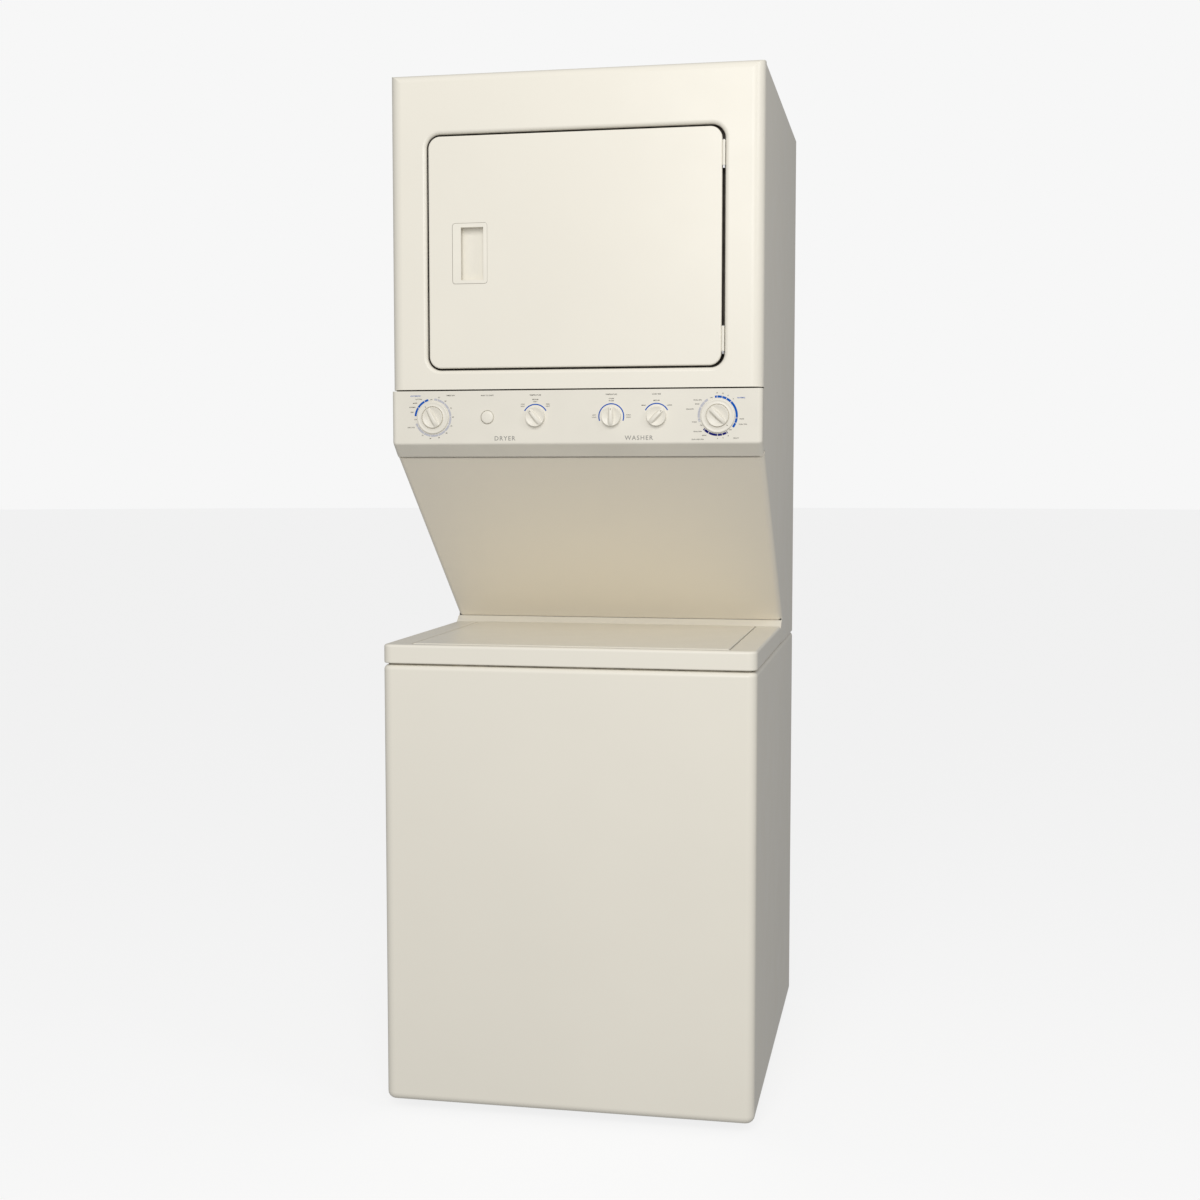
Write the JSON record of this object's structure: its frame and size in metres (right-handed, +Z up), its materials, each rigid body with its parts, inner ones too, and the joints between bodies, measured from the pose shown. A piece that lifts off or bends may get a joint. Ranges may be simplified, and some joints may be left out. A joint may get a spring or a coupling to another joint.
{
  "type": "washer dryer stack",
  "caption": "Stacked laundry centre: top-loading washer with a lift-up lid, front-loading dryer above it, and one shared control panel with dials.",
  "frame": {"origin": "on the floor under the middle of the outline", "axes": "+Z up; +Y towards the wall behind, so the front faces -Y; +X to the right seen from the front"},
  "size_m": [0.686, 0.82, 1.905],
  "materials": {
    "enamel": "gloss bisque enamel",
    "galvanised": "galvanised sheet",
    "foot_rubber": "matt",
    "gasket": "matt",
    "steel": "zinc plated",
    "felt": "felt",
    "trim_plastic": "satin, moulded to match the enamel",
    "dark_plastic": "matt",
    "console_plastic": "satin, moulded to match the enamel",
    "knob_plastic": "satin gloss",
    "drum_enamel": "powder coat",
    "baffle_plastic": "satin",
    "heater": "heat-tinted",
    "motor_steel": "satin",
    "belt_rubber": "matt",
    "tub_plastic": "moulded",
    "basket_enamel": "porcelain enamel",
    "agitator_plastic": "satin"
  },
  "bodies": {
    "root": {"washer_cabinet": "enamel", "washer_rear_panel": "galvanised", "base_frame": "galvanised", "levelling_feet": "foot_rubber", "seam_gasket": "gasket", "washer_top_cover": "enamel", "lid_hinge_pins": "steel", "slanted_panel": "enamel", "side_panel_left": "enamel", "side_panel_right": "enamel", "dryer_top_panel": "enamel", "dryer_rear_panel": "galvanised", "panel_screws": "steel", "dryer_front_panel": "enamel", "door_hinge_brackets": "steel", "door_catch": "dark_plastic", "console_panel": "console_plastic", "control_switches": "dark_plastic", "front_bulkhead": "galvanised", "rear_bulkhead": "galvanised", "heater_coil": "heater", "motor_shelf": "galvanised", "dryer_motor": "motor_steel", "drum_belt": "belt_rubber", "blower_housing": "dark_plastic", "exhaust_duct": "galvanised", "outer_tub": "tub_plastic", "gearcase": "motor_steel", "washer_motor": "motor_steel", "washer_belt": "belt_rubber", "tub_support": "galvanised", "tub_suspension": "steel", "inlet_valve": "dark_plastic", "drain_pump": "dark_plastic"},
    "dryer_door": {"dryer_door_skin": "enamel", "dryer_door_inner": "enamel", "door_seal": "felt", "door_strike": "steel", "door_pull": "trim_plastic", "door_hinge_barrels": "enamel"},
    "lid": {"washer_lid": "enamel"},
    "door_plunger": {"door_switch_plunger": "dark_plastic"},
    "dryer_timer": {"dryer_timer_knob": "knob_plastic"},
    "start": {"start_button": "knob_plastic"},
    "dryer_temperature": {"dryer_temperature_knob": "knob_plastic"},
    "washer_temperature": {"washer_temperature_knob": "knob_plastic"},
    "load_size": {"load_size_knob": "knob_plastic"},
    "washer_timer_shaft_body": {"washer_timer_shaft": "steel"},
    "washer_timer": {"washer_timer_knob": "knob_plastic"},
    "drum": {"dryer_drum": "drum_enamel", "drum_baffles": "baffle_plastic"},
    "rotor": {"motor_rotor": "steel", "blower_wheel": "dark_plastic"},
    "idler_lever": {"idler_arm": "steel"},
    "idler_wheel": {"idler_pulley": "dark_plastic"},
    "filter": {"lint_filter": "baffle_plastic"},
    "basket": {"wash_basket": "basket_enamel"},
    "agitator_body": {"agitator": "agitator_plastic"},
    "drive_wheel": {"drive_pulley": "steel"},
    "washer_rotor": {"washer_motor_pulley": "steel"}
  },
  "joints": [
    {"name": "dryer_door_hinge", "type": "hinge", "parent": "root", "child": "dryer_door", "pos_m": [0.2713, -0.3353, 1.5835], "axis": [0, 0, 1], "range_deg": [0, 142]},
    {"name": "washer_lid_hinge", "type": "hinge", "parent": "root", "child": "lid", "pos_m": [0, 0.081, 0.866], "axis": [-1, 0, 0], "range_deg": [0, 38]},
    {"name": "door_switch_travel", "type": "slide", "parent": "root", "child": "door_plunger", "axis": [0, -1, 0], "range_m": [0, 0.005]},
    {"name": "dryer_timer_turn", "type": "hinge", "parent": "root", "child": "dryer_timer", "pos_m": [-0.264, -0.338, 1.2844], "axis": [0, 1, 0], "continuous": true},
    {"name": "start_button_push", "type": "slide", "parent": "root", "child": "start", "axis": [0, 1, 0], "range_m": [0, 0.003], "stiffness_N_per_m": 600},
    {"name": "dryer_temperature_turn", "type": "hinge", "parent": "root", "child": "dryer_temperature", "pos_m": [-0.0705, -0.338, 1.2844], "axis": [0, 1, 0], "range_deg": [-20, 100]},
    {"name": "washer_temperature_turn", "type": "hinge", "parent": "root", "child": "washer_temperature", "pos_m": [0.07, -0.338, 1.2844], "axis": [0, 1, 0], "range_deg": [-110, 110]},
    {"name": "load_size_turn", "type": "hinge", "parent": "root", "child": "load_size", "pos_m": [0.1525, -0.338, 1.2844], "axis": [0, 1, 0], "range_deg": [-110, 17]},
    {"name": "washer_timer_pull", "type": "slide", "parent": "root", "child": "washer_timer_shaft_body", "axis": [0, -1, 0], "range_m": [0, 0.004]},
    {"name": "washer_timer_turn", "type": "hinge", "parent": "washer_timer_shaft_body", "child": "washer_timer", "pos_m": [0.263, -0.338, 1.2844], "axis": [0, 1, 0], "continuous": true},
    {"name": "drum_spin", "type": "hinge", "parent": "root", "child": "drum", "pos_m": [0, 0.05, 1.568], "axis": [0, 1, 0], "continuous": true},
    {"name": "motor_spin", "type": "hinge", "parent": "root", "child": "rotor", "pos_m": [-0.11, 0.1, 1.13], "axis": [0, 1, 0], "continuous": true},
    {"name": "idler_arm_swing", "type": "hinge", "parent": "root", "child": "idler_lever", "pos_m": [-0.1941, 0.207, 1.128], "axis": [0, 1, 0], "range_deg": [-20, 0], "stiffness_Nm_per_rad": 1.5},
    {"name": "idler_spin", "type": "hinge", "parent": "idler_lever", "child": "idler_wheel", "pos_m": [-0.1941, 0.23, 1.215], "axis": [0, 1, 0], "continuous": true},
    {"name": "lint_filter_lift", "type": "slide", "parent": "root", "child": "filter", "axis": [0, 0, 1], "range_m": [0, 0.17]},
    {"name": "basket_spin", "type": "hinge", "parent": "root", "child": "basket", "pos_m": [0, -0.107, 0.5], "axis": [0, 0, 1], "continuous": true},
    {"name": "agitator_swing", "type": "hinge", "parent": "basket", "child": "agitator_body", "pos_m": [0, -0.107, 0.5], "axis": [0, 0, 1], "range_deg": [-105, 105]},
    {"name": "drive_pulley_spin", "type": "hinge", "parent": "root", "child": "drive_wheel", "pos_m": [0, -0.107, 0.128], "axis": [0, 0, 1], "continuous": true},
    {"name": "washer_motor_spin", "type": "hinge", "parent": "root", "child": "washer_rotor", "pos_m": [0, 0.252, 0.2], "axis": [0, 0, 1], "continuous": true}
  ],
  "couplings": [
    {"joint": "door_switch_travel", "follows": "dryer_door_hinge", "m_per_rad": 0.0020154},
    {"joint": "motor_spin", "follows": "drum_spin", "ratio": 28.482},
    {"joint": "idler_spin", "follows": "drum_spin", "ratio": -13.332},
    {"joint": "drive_pulley_spin", "follows": "basket_spin", "ratio": 1},
    {"joint": "washer_motor_spin", "follows": "basket_spin", "ratio": 3.5385}
  ]
}
